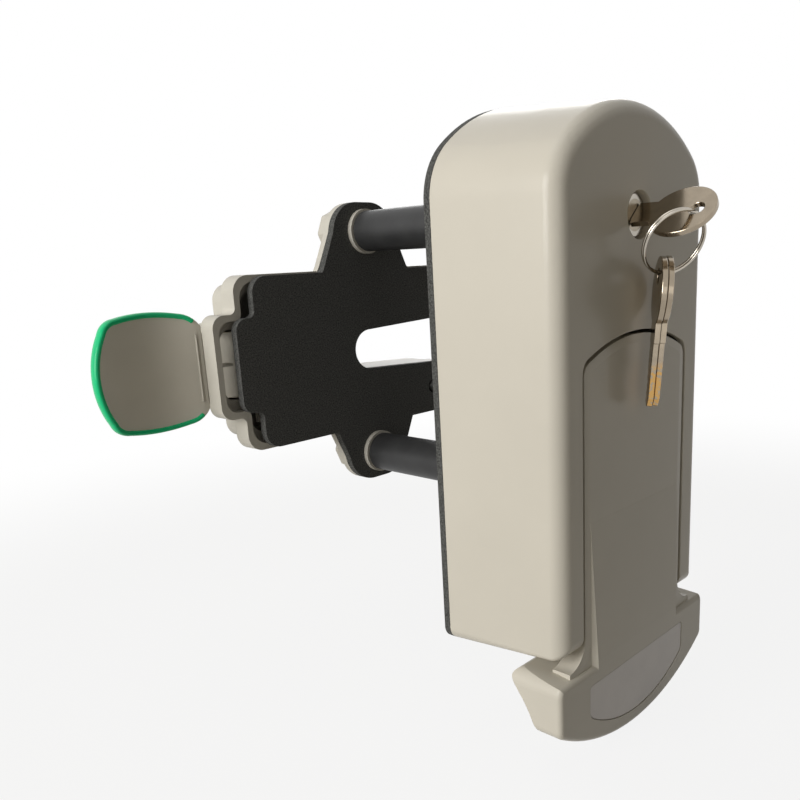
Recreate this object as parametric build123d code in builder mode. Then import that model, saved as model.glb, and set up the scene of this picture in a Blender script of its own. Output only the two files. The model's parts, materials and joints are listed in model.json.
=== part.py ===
from build123d import *
import os
from math import cos, radians, sin, sqrt, tan

# Cold room door handle lock: an arched outer case with a key lock, a spring latch and a
# swinging pull handle, joined through the door leaf to an inner emergency release.
# Millimetres. X points to the right seen from outside, Y goes into the door and Z is up.
# The origin lies on the outer face of the door, midway between the two through bolts.

os.makedirs("parts", exist_ok=True)

run_fit = 0.05
slip_gap = 0.3
free_gap = 1.0

# Door leaf, and the two bolts that clamp the two halves through it
door_t = 100.0
bolt_pitch = 115.0
bolt_r = 4.0
bolt_hole_r = bolt_r + 0.4
head_flats = 13.0
head_h = 5.3

# Outer seal and sheet steel base
gasket_t = 3.0
base_t = 2.0
base_y = gasket_t + base_t
base_margin = 4.9

# Arched case of the outer half
case_w = 117.0
case_top = 101.5
case_bottom = -117.0
case_depth = 56.0
case_draft = 4.5
case_wall = 3.0
case_wall_back = 4.6
case_wall_front = 7.4
case_step = 28.0
shoulder_r = 28.0
crown_r = 77.0
foot_r = 6.0
case_edge_r = 7.0
front_y = gasket_t + case_depth
inner_front_y = front_y - case_wall

# Pull handle: face plate in the front of the case, crescent grip under it
plate_w = 77.0
plate_t = 4.0
plate_gap = 1.5
plate_top = 10.4
plate_side_top = 1.0
plate_bevel_w = 3.4
plate_bevel_h = 0.4
stem_z = -108.0
flare_r = 11.0
grip_top = -119.0
grip_half_w = 59.5
grip_side_h = 23.0
grip_bottom = -160.5
grip_depth = 24.7
grip_proud = 2.2
grip_top_fall = 2.4
lean_top = -60.0
flare_back = 9.0
plate_foot = grip_top - 8
handle_swing = 22.0

# Hinge of the pull handle
hinge_y = front_y - 7.0
hinge_z = -22.0
hinge_pin_r = 2.5
barrel_r = 5.4
barrel_in = 16.0
barrel_out = 36.0
hinge_lug_t = 5.0
hinge_pin_l = 2.0 * (plate_w / 2 + 2.0 + hinge_lug_t)

# Key lock
lock_z = 55.7
lock_recess = 2.4
lock_face_r = 8.4
lock_gap = 0.8
lock_flange_t = 1.6
lock_body_r = 7.4
lock_body_l = 25.4
plug_r = 6.0
key_tilt = 42.0
nut_flats = 19.0
nut_t = 3.0
cam_t = 2.0
cam_l = 34.0
cam_w = 12.0
tang_w = 7.0
tongue_gap = 0.5
lock_face_y = front_y - lock_recess
lock_back_y = lock_face_y - lock_flange_t - lock_body_l
cam_y = lock_back_y - 0.6

# Keys: one in the lock and two spares on the split ring
key_t = 2.2
bow_r = 12.5
bow_squash = 13.2
blade_w = 8.0
blade_l = 25.0
collar_w = 11.0
collar_l = 8.0
key_hole_r = 3.0
key_hole_in = 18.9
ring_r = 12.7
ring_wire_r = 1.0
ring_drop = 0.6

# Spring latch
latch_z = -16.0
latch_h = 16.0
latch_front_y = 24.0
latch_back_y = 10.0
latch_throw = 10.0
latch_tail_x = -18.0
latch_rod_r = 2.5
guide_x = 20.0 - case_w / 2
guide_t = 3.0
latch_rod_end = guide_x - 4.5
coil_mean_r = 4.0
coil_wire_r = 0.45
coil_turns = 5.0

# Release rod through the door, driven by the inner lever
rod_x = case_w / 2 - 13.5
rod_z = -28.5
rod_r = 3.0

# Sleeves that line the bolt holes of the door
sleeve_r = 10.0
sleeve_bore_r = 8.4
collar_r = 11.0
collar_reach = 2.5

# Inner half: foam seal and hollow shell with two ears and two prongs
foam_t = 4.0
shell_y = door_t + foam_t
lip_depth = 10.0
ear_t = 3.5
shell_depth = 28.0
shell_wall = 3.0
shell_inset = 4.0
foam_left = -81.5
foam_step_x = -71.0
foam_step_h = 22.0
body_h = 40.5
body_drop = 2.2
ear_top = bolt_pitch / 2 + 14.3
ear_half = 20.5
ear_round = 16.0
ear_foot = 31.0
prong_end = 56.0
slot_r = 10.2
slot_x = -1.4
slot_mouth = 13.0
cap_r = 13.0
cap_h = 16.5

# Release paddle and the lever behind it
paddle_hinge_x = -82.0
paddle_hinge_y = 122.0
paddle_pin_r = 2.5
paddle_left = -140.4
paddle_right = -88.2
paddle_half_h = 26.6
paddle_mid_x = -113.0
paddle_mid_y = 124.0
paddle_bend_r = 80.0
paddle_t = 4.0
edging_t = 5.4
edging_out = 0.6
edging_in = 2.2
paddle_arm = 25.0
lever_hinge_x = -20.0
lever_y = 117.0
lever_t = 4.0
lever_low = -32.5
lever_high = -24.0
lever_pin_r = 2.5


def front_plane(depth):
    """Plane parallel to the door face, this far out from it, seen from outside."""
    return Plane.XZ.offset(depth)


def inner_plane(y):
    """Plane parallel to the door face at this y on the room side."""
    return Plane.XZ.offset(-y)


def arch_points(grow=0.0):
    """Corner and tangent points of the arched outline, grown or shrunk by an offset."""
    half = case_w / 2 + grow
    r1 = shoulder_r + grow
    r2 = crown_r + grow
    top = case_top + grow
    dx = half - r1
    centre_z = top - r2 + sqrt((r2 - r1) ** 2 - dx**2)
    k = r2 / (r2 - r1)
    join = (dx * k, top - r2 + (centre_z - top + r2) * k)
    mid_x = dx + r1 * cos(radians(25))
    mid_z = centre_z + r1 * sin(radians(25))
    return half, centre_z, (mid_x, mid_z), join, top


def case_outline(grow=0.0):
    """Arched outline of the outer half, straight at the sides and the foot."""
    half, centre_z, mid, join, top = arch_points(grow)
    low = case_bottom - grow
    with BuildSketch() as outline:
        with BuildLine():
            Line((0, low), (half, low))
            Line((half, low), (half, centre_z))
            ThreePointArc((half, centre_z), mid, join)
            ThreePointArc(join, (0, top), (-join[0], join[1]))
            ThreePointArc((-join[0], join[1]), (-mid[0], mid[1]), (-half, centre_z))
            Line((-half, centre_z), (-half, low))
            Line((-half, low), (0, low))
        make_face()
        fillet(outline.vertices().group_by(Axis.Y)[0].filter_by(lambda v: abs(v.X) > 1), foot_r)
    return outline.sketch


def case_cavity():
    """Space inside the case, in two steps so that the drafted wall keeps its thickness."""
    with BuildPart() as cavity:
        with BuildSketch(front_plane(gasket_t)):
            add(case_outline(-case_wall_back))
        extrude(amount=case_step - gasket_t)
        with BuildSketch(front_plane(gasket_t)):
            add(case_outline(-case_wall_front))
        extrude(amount=case_depth - case_wall)
    return cavity.part


def plate_outline(grow=0.0):
    """Face plate and stem of the pull handle, or the opening that it fills."""
    half = plate_w / 2 + grow
    top = plate_top + grow
    side = plate_side_top + grow
    flare = flare_r - grow
    wide = half + flare
    turn = flare * cos(radians(45))
    with BuildSketch() as outline:
        with BuildLine():
            Line((-half, side), (-half, stem_z))
            ThreePointArc((-half, stem_z), (turn - wide, stem_z - turn), (-wide, stem_z - flare))
            Line((-wide, stem_z - flare), (-wide, plate_foot))
            Line((-wide, plate_foot), (wide, plate_foot))
            Line((wide, plate_foot), (wide, stem_z - flare))
            ThreePointArc((wide, stem_z - flare), (wide - turn, stem_z - turn), (half, stem_z))
            Line((half, stem_z), (half, side))
            ThreePointArc((half, side), (0, top), (-half, side))
        make_face()
        fillet(outline.vertices().filter_by_position(Axis.Y, side - 0.1, side + 0.1), 5.0 + grow)
    return outline.sketch


def crescent(top=grip_top, half=grip_half_w, side=grip_side_h, low=grip_bottom, turn=6.0):
    """Grip seen from the front: straight top, short sides and a long arc below."""
    with BuildSketch() as outline:
        with BuildLine():
            Line((-half, top), (half, top))
            Line((half, top), (half, top - side))
            ThreePointArc((half, top - side), (0, low), (-half, top - side))
            Line((-half, top - side), (-half, top))
        make_face()
        fillet(outline.vertices().group_by(Axis.Y)[-1], turn)
        fillet(outline.vertices().sort_by(Axis.Y)[:2], 4.5)
    return outline.sketch


def round_end(radius):
    """Half outline of a ball end, drawn with flats just inside the true circle."""
    return [(radius * sin(radians(a)), radius * cos(radians(a))) for a in range(0, 181, 30)]


def ball(radius):
    """Ball end turned from its outline."""
    with BuildPart() as end:
        with BuildSketch(Plane.XZ):
            with BuildLine():
                Polyline(*round_end(radius), close=True)
            make_face()
        revolve(axis=Axis.Z)
    return end.part


def ramp_block(points, z_low, z_high):
    """Upright prism on the given outline, seen from above."""
    with BuildPart() as block:
        with BuildSketch(Plane.XY.offset(z_low)):
            with BuildLine():
                Polyline(*points, close=True)
            make_face()
        extrude(amount=z_high - z_low)
    return block.part


def make_outer_gasket():
    """Die-cut foam seal between the outer half and the door."""
    with BuildPart() as outer_gasket:
        with BuildSketch(front_plane(0)):
            add(case_outline())
            with Locations((0, bolt_pitch / 2), (0, -bolt_pitch / 2)):
                Circle(sleeve_r + slip_gap, mode=Mode.SUBTRACT)
            with Locations((rod_x, rod_z)):
                Circle(rod_r + free_gap, mode=Mode.SUBTRACT)
            with Locations(*screw_spots()):
                Circle(screw_head_r + slip_gap, mode=Mode.SUBTRACT)
        extrude(amount=gasket_t)
    outer_gasket.part.label = "outer_gasket"
    export_step(outer_gasket.part, "parts/outer_gasket.step")


screw_r = 2.0
screw_head_r = 4.0
screw_head_h = 2.6
screw_l = 16.0
boss_r = 4.5


def screw_spots():
    """Places of the four screws that hold the case on its base, as seen from outside."""
    high = case_top - 29.5
    low = case_bottom + 13
    x_high = case_w / 2 - 16.5
    x_low = case_w / 2 - 10.5
    return [(x_high, high), (-x_high, high), (x_low, low), (-x_low, low)]


def make_base_plate():
    """Zinc plated steel sheet that closes the case and carries the latch."""
    with BuildPart() as base_plate:
        with BuildSketch(front_plane(gasket_t)):
            add(case_outline(-base_margin))
            with Locations((0, bolt_pitch / 2), (0, -bolt_pitch / 2)):
                Circle(bolt_hole_r, mode=Mode.SUBTRACT)
            with Locations((rod_x, rod_z)):
                Circle(rod_r + run_fit, mode=Mode.SUBTRACT)
            with Locations(*screw_spots()):
                Circle(screw_r + slip_gap, mode=Mode.SUBTRACT)
            with Locations((guide_x, latch_z + 15), (guide_x, latch_z - 15)):
                Circle(screw_r + slip_gap, mode=Mode.SUBTRACT)
        extrude(amount=base_t)
    base_plate.part.label = "base_plate"
    export_step(base_plate.part, "parts/base_plate.step")


def make_cover_screws():
    """Four pan head screws driven from the door side through the base into the case."""
    with BuildPart() as cover_screws:
        with BuildSketch(front_plane(gasket_t)):
            with Locations(*screw_spots()):
                Circle(screw_head_r)
        extrude(amount=-screw_head_h)
        with BuildSketch(front_plane(gasket_t)):
            with Locations(*screw_spots()):
                Circle(screw_r)
        extrude(amount=screw_l)
        with BuildSketch(front_plane(gasket_t - screw_head_h)):
            with Locations(*screw_spots()):
                Rectangle(5.0, 0.9)
        extrude(amount=1.2, mode=Mode.SUBTRACT)
    cover_screws.part.label = "cover_screws"
    export_step(cover_screws.part, "parts/cover_screws.step")


def make_anchor_nuts():
    """Two long weld nuts on the base plate that take the through bolts."""
    with BuildPart() as anchor_nuts:
        with BuildSketch(front_plane(base_y)):
            with Locations((0, bolt_pitch / 2), (0, -bolt_pitch / 2)):
                RegularPolygon(head_flats / 2 + 1, 6, major_radius=False)
                Circle(bolt_r + run_fit, mode=Mode.SUBTRACT)
        extrude(amount=14)
    anchor_nuts.part.label = "anchor_nuts"
    export_step(anchor_nuts.part, "parts/anchor_nuts.step")


def make_housing():
    """Moulded case: drafted arch with a big front radius, open at the back."""
    window_h = latch_h + 2 * slip_gap
    with BuildPart() as housing:
        with BuildSketch(front_plane(gasket_t)):
            add(case_outline())
        extrude(amount=case_depth, taper=case_draft)
        fillet(housing.faces().sort_by(Axis.Y)[0].edges(), case_edge_r)
        add(case_cavity(), mode=Mode.SUBTRACT)
        # screw bosses, lock boss and the two lugs of the handle hinge
        with BuildSketch(front_plane(base_y)):
            with Locations(*screw_spots()):
                Circle(boss_r)
                Circle(screw_r + 0.03, mode=Mode.SUBTRACT)
        extrude(amount=inner_front_y - base_y + 0.4)
        with BuildSketch(front_plane(inner_front_y - 5)):
            with Locations((0, lock_z)):
                Circle(lock_body_r + 4.2)
        extrude(amount=5.5)
        with BuildSketch(Plane.YZ.offset(-hinge_pin_l / 2)):
            with Locations((-hinge_y - 1, hinge_z)):
                Rectangle(11, 13)
        extrude(amount=hinge_lug_t)
        with BuildSketch(Plane.YZ.offset(hinge_pin_l / 2)):
            with Locations((-hinge_y - 1, hinge_z)):
                Rectangle(11, 13)
        extrude(amount=-hinge_lug_t)
        with Locations(Location((0, -hinge_y, hinge_z), (0, 90, 0))):
            Cylinder(hinge_pin_r + 0.02, hinge_pin_l + 2, mode=Mode.SUBTRACT)
        # opening of the handle, lock hole with its recess, window of the latch
        with BuildSketch(front_plane(front_y + 1)):
            add(plate_outline(plate_gap))
        extrude(amount=-(case_wall + 9.5), mode=Mode.SUBTRACT)
        with BuildSketch(front_plane(front_y + 1)):
            with Locations((0, lock_z)):
                Circle(lock_face_r + lock_gap)
        extrude(amount=-(lock_recess + lock_flange_t + 1.05), mode=Mode.SUBTRACT)
        with BuildSketch(front_plane(front_y + 1)):
            with Locations((0, lock_z)):
                Circle(lock_body_r + 0.1)
        extrude(amount=-20, mode=Mode.SUBTRACT)
        with BuildSketch(Plane.YZ.offset(case_w / 2 - 10)):
            with Locations((-(latch_front_y + latch_back_y) / 2, latch_z)):
                Rectangle(latch_front_y - latch_back_y + 2 * slip_gap, window_h)
        extrude(amount=20, mode=Mode.SUBTRACT)
    housing.part.label = "housing"
    export_step(housing.part, "parts/housing.step")


def grip_profile():
    """Side view of the grip: top falling to the front, rounded tip, hollow back."""
    face = -front_y - grip_proud
    tip = face + grip_depth
    with BuildSketch(Plane.YZ) as profile:
        with BuildLine():
            Line((face, grip_top - grip_top_fall), (tip - 3, grip_top))
            ThreePointArc((tip - 3, grip_top), (tip - 0.9, grip_top - 0.9), (tip, grip_top - 3))
            Spline(
                (tip, grip_top - 3),
                (tip - 2.2, grip_top - 6.6),
                (tip - 6.6, grip_top - 12.6),
                (tip - 11.2, grip_top - 21.2),
                (tip - 15.9, grip_top - 31.5),
                (tip - 19.2, grip_bottom - 1),
            )
            Line((tip - 19.2, grip_bottom - 1), (face, grip_bottom - 1))
            Line((face, grip_bottom - 1), (face, grip_top - grip_top_fall))
        make_face()
    return profile.sketch


inlay_depth = 1.0
inlay_t = 0.8
inlay_gap = 0.25
inlay_half = 39.0
inlay_top = -128.0
inlay_side = 14.0
inlay_low = -154.5


def inlay_outline():
    """Outline of the pocket in the grip."""
    return crescent(inlay_top, inlay_half, inlay_side, inlay_low, 2.0)


def face_plate():
    """Flat plate of the handle, with a low wide bevel round its front."""
    with BuildPart() as plate:
        with BuildSketch(front_plane(front_y)):
            add(plate_outline())
        extrude(amount=-plate_t)
        front = plate.faces().sort_by(Axis.Y)[0]
        chamfer(front.edges(), plate_bevel_w, plate_bevel_h, reference=front)
        # near the foot of the case the plate is a deep block that flares into the grip
        with BuildSketch(front_plane(front_y - plate_t + 0.2)):
            add(plate_outline())
            with Locations((0, stem_z - flare_r / 2)):
                Rectangle(3 * plate_w, flare_r + 6, mode=Mode.INTERSECT)
        extrude(amount=-(flare_back - plate_t))
    return plate.part


def stem_rise():
    """Lower part of the plate, which leans out to the level of the grip."""
    half = plate_w / 2 - plate_bevel_w
    with BuildPart() as rise:
        for z, out in ((lean_top, 0.05), (grip_top, grip_proud), (plate_foot, grip_proud)):
            with BuildSketch(Plane.XY.offset(z)):
                with BuildLine():
                    Polyline(
                        (-half, -front_y + 0.5),
                        (out - half, -front_y - out),
                        (half - out, -front_y - out),
                        (half, -front_y + 0.5),
                        close=True,
                    )
                make_face()
        loft(ruled=True)
    return rise.part


def make_pull_handle():
    """Moulded pull handle: face plate, grip, hinge barrels and the tongue behind."""
    with BuildPart() as pull_handle:
        with BuildSketch(front_plane(front_y + grip_proud)):
            add(crescent())
        extrude(amount=-grip_depth)
        extrude(grip_profile(), amount=grip_half_w + 5, both=True, mode=Mode.INTERSECT)
        fillet(pull_handle.faces().filter_by(Axis.Y).sort_by(Axis.Y)[0].edges(), 2.2)
        add(face_plate())
        add(stem_rise())
        # two long ribs and a cross web stiffen the plate
        with BuildSketch(front_plane(front_y - plate_t - 5)):
            with Locations((-27, -65), (27, -65)):
                Rectangle(2.6, 90)
            with Locations((0, -64)):
                Rectangle(54, 2.6)
            with Locations((0, -100)):
                Rectangle(54, 2.6)
        extrude(amount=5.4)
        # hinge barrels
        for side in (-1, 1):
            with BuildSketch(Plane.YZ.offset(side * barrel_in)):
                with Locations((-hinge_y, hinge_z)):
                    Circle(barrel_r)
                with Locations((-hinge_y - 2.5, hinge_z)):
                    Rectangle(5, 2 * barrel_r)
            extrude(amount=side * (barrel_out - barrel_in))
        # tongue that works the latch and that the lock cam blocks
        with BuildSketch(Plane.YZ.offset(-3.2)):
            with BuildLine():
                Polyline(
                    (-front_y + plate_t - 0.5, hinge_z + 8),
                    (-front_y + plate_t - 0.5, hinge_z + 26),
                    (-46, hinge_z + 30),
                    (-44, hinge_z + 52),
                    (-cam_y - tongue_gap, hinge_z + 52),
                    (-cam_y - tongue_gap, hinge_z + 46),
                    (-39, hinge_z + 40),
                    (-39, hinge_z + 22),
                    (-44, hinge_z + 8),
                    close=True,
                )
            make_face()
        extrude(amount=6.4)
        add(Location((0, -37.5, hinge_z + 28)) * ball(4))
        with Locations(Location((0, -hinge_y, hinge_z), (0, 90, 0))):
            Cylinder(hinge_pin_r + run_fit, 2 * barrel_out + 4, mode=Mode.SUBTRACT)
        with BuildSketch(front_plane(front_y + grip_proud)):
            add(inlay_outline())
        extrude(amount=-inlay_depth, mode=Mode.SUBTRACT)
    pull_handle.part.label = "pull_handle"
    export_step(pull_handle.part, "parts/pull_handle.step")


def make_grip_inlay():
    """Plain panel let into the front of the grip."""
    with BuildPart() as grip_inlay:
        with BuildSketch(front_plane(front_y + grip_proud - inlay_depth)):
            add(inlay_outline())
            offset(amount=-inlay_gap, mode=Mode.REPLACE)
        extrude(amount=inlay_t)
    grip_inlay.part.label = "grip_inlay"
    export_step(grip_inlay.part, "parts/grip_inlay.step")


def make_handle_pin():
    """Steel pin across the case on which the pull handle swings."""
    with BuildPart() as handle_pin:
        with BuildSketch(Plane.YZ.offset(-hinge_pin_l / 2)):
            with Locations((-hinge_y, hinge_z)):
                Circle(hinge_pin_r)
        extrude(amount=hinge_pin_l)
        chamfer(handle_pin.edges(), 0.4)
    handle_pin.part.label = "handle_pin"
    export_step(handle_pin.part, "parts/handle_pin.step")


def make_latch_bolt():
    """Latch: bevelled tongue, two ramps that draw it back, and a tail rod."""
    low = latch_z - latch_h / 2
    reach = case_w / 2 - tan(radians(case_draft)) * 14 + latch_throw
    with BuildPart() as latch_bolt:
        with BuildSketch(Plane.XY.offset(low)):
            with BuildLine():
                Polyline(
                    (latch_tail_x, -latch_back_y),
                    (reach - 9.4, -latch_back_y),
                    (reach, -latch_back_y - 9.4),
                    (reach, -latch_front_y),
                    (latch_tail_x, -latch_front_y),
                    close=True,
                )
            make_face()
        extrude(amount=latch_h)
        fillet(latch_bolt.edges().filter_by(Axis.Z).sort_by(Axis.X)[-2:], 1.0)
        c = front_ramp()
        add(
            ramp_block(
                [(-16, -36), (-36 + c, -36), (-latch_front_y + c, -latch_front_y), (-latch_front_y + c, -12), (-16, -12)],
                low + 10,
                hinge_z + 31.5,
            )
        )
        r = back_ramp()
        add(
            ramp_block(
                [(20, -8.5), (r + 8.5, -8.5), (r + 19.5, -19.5), (r + 19.5, -22), (20, -22)],
                rod_z - 6,
                low + 4,
            )
        )
        with BuildSketch(Plane.YZ.offset(latch_tail_x)):
            with Locations((-(latch_front_y + latch_back_y) / 2, latch_z)):
                Circle(latch_rod_r)
        extrude(amount=latch_rod_end - latch_tail_x)
    latch_bolt.part.label = "latch_bolt"
    export_step(latch_bolt.part, "parts/latch_bolt.step")


def front_ramp():
    """x minus y of the slope that the handle tongue pushes, one slip gap off its ball."""
    return 37.5 - sqrt(2) * (4 + slip_gap)


def back_ramp():
    """x plus y of the slope that the release rod pushes, one slip gap off its tip."""
    return rod_x + rod_tip_y() - sqrt(2) * (rod_r + slip_gap)


def rod_tip_y():
    """Centre of the round outer tip of the release rod."""
    return -9.5 + (rod_r + slip_gap) / sqrt(2)


def make_latch_guide():
    """Bent steel bracket on the base that guides the tail rod and holds the spring."""
    mid_y = (latch_front_y + latch_back_y) / 2
    with BuildPart() as latch_guide:
        with BuildSketch(front_plane(base_y)):
            with Locations((guide_x, latch_z)):
                RectangleRounded(9, 40, 2)
            with Locations((guide_x, latch_z + 15), (guide_x, latch_z - 15)):
                Circle(screw_r + slip_gap, mode=Mode.SUBTRACT)
        extrude(amount=2)
        with BuildSketch(Plane.YZ.offset(guide_x - guide_t / 2)):
            with Locations((-base_y - 10, latch_z)):
                Rectangle(20, 18)
            with Locations((-mid_y, latch_z)):
                Circle(latch_rod_r + run_fit, mode=Mode.SUBTRACT)
        extrude(amount=guide_t)
    latch_guide.part.label = "latch_guide"
    export_step(latch_guide.part, "parts/latch_guide.step")


def make_guide_screws():
    """Two small screws that hold the guide on the base."""
    with BuildPart() as guide_screws:
        with BuildSketch(front_plane(gasket_t)):
            with Locations((guide_x, latch_z + 15), (guide_x, latch_z - 15)):
                Circle(screw_r)
        extrude(amount=base_t + 2)
        with BuildSketch(front_plane(base_y + 2)):
            with Locations((guide_x, latch_z + 15), (guide_x, latch_z - 15)):
                Circle(screw_head_r - 0.4)
        extrude(amount=2.2)
    guide_screws.part.label = "guide_screws"
    export_step(guide_screws.part, "parts/guide_screws.step")


def make_latch_spring():
    """Compression spring round the tail rod, one continuous wire with flat end turns."""
    start = guide_x + guide_t / 2 + coil_wire_r + 0.1
    length = latch_tail_x - coil_wire_r - 0.1 - start
    with BuildPart() as latch_spring:
        with BuildLine() as coil:
            Helix(
                pitch=length / coil_turns,
                height=length,
                radius=coil_mean_r,
                center=(start, -(latch_front_y + latch_back_y) / 2, latch_z),
                direction=(1, 0, 0),
            )
        with BuildSketch(Plane(coil.line @ 0, z_dir=coil.line % 0)):
            Rectangle(2 * coil_wire_r, 2 * coil_wire_r)
        sweep(is_frenet=True)
    latch_spring.part.label = "latch_spring"
    export_step(latch_spring.part, "parts/latch_spring.step")


def make_lock_body():
    """Chromed barrel of the cam lock with its round front flange."""
    with BuildPart() as lock_body:
        with BuildSketch(front_plane(lock_face_y)):
            with Locations((0, lock_z)):
                Circle(lock_face_r)
        extrude(amount=-lock_flange_t)
        chamfer(lock_body.faces().sort_by(Axis.Y)[0].edges(), 0.5)
        with BuildSketch(front_plane(lock_face_y)):
            with Locations((0, lock_z)):
                Circle(lock_body_r)
        extrude(amount=-(lock_flange_t + lock_body_l))
        with BuildSketch(front_plane(lock_face_y + 1)):
            with Locations((0, lock_z)):
                Circle(plug_r + run_fit)
        extrude(amount=-(lock_flange_t + lock_body_l + 2), mode=Mode.SUBTRACT)
    lock_body.part.label = "lock_body"
    export_step(lock_body.part, "parts/lock_body.step")


def make_lock_nut():
    """Hexagon nut that draws the lock against the case from inside."""
    with BuildPart() as lock_nut:
        with BuildSketch(front_plane(inner_front_y - 5)):
            with Locations((0, lock_z)):
                RegularPolygon(nut_flats / 2, 6, major_radius=False)
                Circle(lock_body_r + run_fit, mode=Mode.SUBTRACT)
        extrude(amount=-nut_t)
    lock_nut.part.label = "lock_nut"
    export_step(lock_nut.part, "parts/lock_nut.step")


def key_slot():
    """Section of the keyway, turned to the angle at which the key stands."""
    with BuildSketch() as slot:
        with Locations(Location((0, lock_z, 0), (0, 0, key_tilt))):
            Rectangle(blade_w + 2 * slip_gap, key_t + 2 * slip_gap)
    return slot.sketch


def make_lock_plug():
    """Plug that turns with the key, with a square tang for the cam."""
    with BuildPart() as lock_plug:
        with BuildSketch(front_plane(lock_face_y)):
            with Locations((0, lock_z)):
                Circle(plug_r)
        extrude(amount=-(lock_face_y - lock_back_y + 0.2))
        with BuildSketch(front_plane(lock_back_y - 0.2)):
            with Locations((0, lock_z)):
                Rectangle(tang_w, tang_w)
        extrude(amount=-(cam_t + 0.4))
        with BuildSketch(front_plane(lock_face_y)):
            add(key_slot())
        extrude(amount=-(blade_l + 0.5), mode=Mode.SUBTRACT)
    lock_plug.part.label = "lock_plug"
    export_step(lock_plug.part, "parts/lock_plug.step")


def make_lock_cam():
    """Flat steel cam on the back of the plug. Turned down, it stops the tongue."""
    with BuildPart() as lock_cam:
        with BuildSketch(front_plane(cam_y)):
            with Locations((0, lock_z)):
                Circle(cam_w / 2 + 1)
            with Locations((cam_l / 2 - 3, lock_z)):
                RectangleRounded(cam_l + 6, cam_w, 3)
            with Locations((0, lock_z)):
                Rectangle(tang_w + 0.1, tang_w + 0.1, mode=Mode.SUBTRACT)
        extrude(amount=-cam_t)
    lock_cam.part.label = "lock_cam"
    export_step(lock_cam.part, "parts/lock_cam.step")


def make_cam_screw():
    """Washer head screw that keeps the cam on the plug."""
    with BuildPart() as cam_screw:
        with BuildSketch(front_plane(cam_y - cam_t)):
            with Locations((0, lock_z)):
                Circle(5.2)
        extrude(amount=-2.4)
        chamfer(cam_screw.faces().sort_by(Axis.Y)[-1].edges(), 0.6)
    cam_screw.part.label = "cam_screw"
    export_step(cam_screw.part, "parts/cam_screw.step")


def key_shape():
    """One flat key in the XY plane: hole centre at the origin, blade pointing to -X."""
    bow_x = -(key_hole_in - bow_squash)
    neck = bow_x - bow_squash + 1.5
    tip = neck - collar_l - blade_l
    with BuildPart() as key:
        with BuildSketch(Plane.XY.offset(-key_t / 2)):
            with Locations((bow_x, 0)):
                Ellipse(bow_squash, bow_r)
            with Locations((neck - collar_l / 2 + 1, 0)):
                Rectangle(collar_l + 2, collar_w)
            with BuildLine():
                Polyline(
                    (neck, -blade_w / 2),
                    (tip + 3, -blade_w / 2),
                    (tip, -blade_w / 2 + 2.4),
                    (tip, 0.6),
                    (tip + 2, blade_w / 2 - 1.2),
                    (tip + 3.5, blade_w / 2 - 2.2),
                    (tip + 5, blade_w / 2 - 0.8),
                    (tip + 6.5, blade_w / 2 - 2.6),
                    (tip + 8, blade_w / 2 - 1.4),
                    (tip + 9.5, blade_w / 2 - 2.8),
                    (tip + 11, blade_w / 2 - 0.6),
                    (tip + 13, blade_w / 2 - 1.8),
                    (tip + 15, blade_w / 2),
                    (neck, blade_w / 2),
                    close=True,
                )
            make_face()
            Circle(key_hole_r, mode=Mode.SUBTRACT)
        extrude(amount=key_t)
    return key.part


def hole_point():
    """Centre of the ring hole in the key that stands in the lock."""
    reach = collar_l - 1.5 + key_hole_in
    return Vector(0, -lock_face_y - 0.4 - reach, lock_z)


def ring_axes():
    """Unit vectors of the ring: from the hole to its centre, along the wire, normal."""
    to_centre = Vector(-0.196, 0.565, -0.801).normalized()
    wire = Vector(-0.896, 0.23, 0.381)
    along = (wire - to_centre * wire.dot(to_centre)).normalized()
    return to_centre, along, to_centre.cross(along)


def ring_centre():
    """Middle of the ring, which hangs low in the hole of the key."""
    return hole_point() + ring_axes()[0] * (ring_r + ring_drop)


def make_inserted_key():
    """Nickel plated key standing in the lock."""
    p = hole_point()
    tilt = Vector(cos(radians(key_tilt)), 0, sin(radians(key_tilt)))
    place = Plane(origin=p, x_dir=(0, -1, 0), z_dir=Vector(0, -1, 0).cross(tilt))
    with BuildPart() as inserted_key:
        add(place.location * key_shape())
    inserted_key.part.label = "inserted_key"
    export_step(inserted_key.part, "parts/inserted_key.step")


def make_key_ring():
    """Split ring, closed, of round wire drawn with eight sides."""
    e, along, normal = ring_axes()
    middle = ring_centre()
    with BuildPart() as key_ring:
        with BuildSketch(Plane(origin=middle, x_dir=e, z_dir=along)):
            with Locations((ring_r, 0)):
                RegularPolygon(ring_wire_r, 8)
        revolve(axis=Axis(middle, normal))
    key_ring.part.label = "key_ring"
    export_step(key_ring.part, "parts/key_ring.step")


spare_normal = (-0.6, 0.8, 0)
spare_side = 1.25
spare_drop = 1.3
spare_lean = 4.5


def spare_key(side):
    """A key hanging from the bottom of the ring, one on each side of its lowest point."""
    normal = ring_axes()[2]
    down = Vector(0, 0, -1)
    fall = (down - normal * down.dot(normal)).normalized()
    tangent = normal.cross(fall)
    flat = Vector(*spare_normal)
    step = side * spare_side / tangent.dot(flat) / ring_r
    wire = ring_centre() + fall * (ring_r * cos(step)) + tangent * (ring_r * sin(step))
    lean = radians(spare_lean)
    up = Vector(0, 0, 1) * cos(lean) - flat * sin(lean)
    face = flat * cos(lean) + Vector(0, 0, 1) * sin(lean)
    place = Plane(origin=wire - up * spare_drop, x_dir=up, z_dir=face)
    return place.location * key_shape()


def make_spare_key_left():
    """First spare key."""
    with BuildPart() as spare_key_left:
        add(spare_key(-1))
    spare_key_left.part.label = "spare_key_left"
    export_step(spare_key_left.part, "parts/spare_key_left.step")


def make_spare_key_right():
    """Second spare key."""
    with BuildPart() as spare_key_right:
        add(spare_key(1))
    spare_key_right.part.label = "spare_key_right"
    export_step(spare_key_right.part, "parts/spare_key_right.step")


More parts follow.
